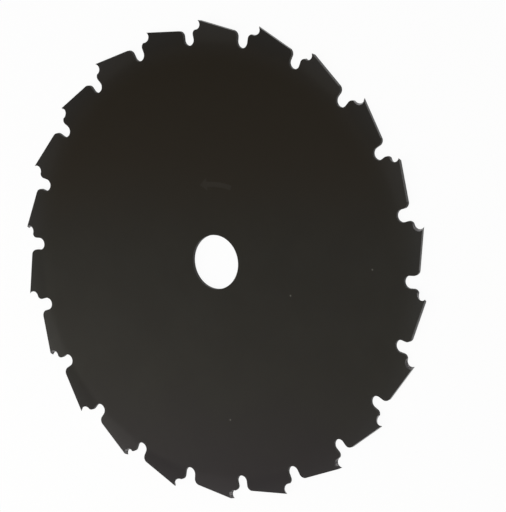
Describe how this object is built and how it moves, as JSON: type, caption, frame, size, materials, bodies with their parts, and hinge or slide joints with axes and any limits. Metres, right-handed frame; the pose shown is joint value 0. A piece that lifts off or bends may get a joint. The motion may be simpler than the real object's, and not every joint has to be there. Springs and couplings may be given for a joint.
{
  "type": "brush cutter blade",
  "caption": "Thin steel brush cutter disc with a plain arbor hole and a rim of alternately set scratcher teeth, each with a round gullet and a filed cutting notch.",
  "frame": {"origin": "centre of the arbor hole at mid-thickness of the sheet", "axes": "+Z along the arbor hole, from which the teeth point counter-clockwise; +X through the sharp corner of a tooth that is set towards +Z"},
  "size_m": [0.225, 0.2228, 0.0032],
  "materials": {
    "blackened_steel": "matte dark brown-black heat-treatment scale, bare bright steel on the filed cutting edges"
  },
  "bodies": {
    "root": {"blade": "blackened_steel"}
  },
  "joints": []
}
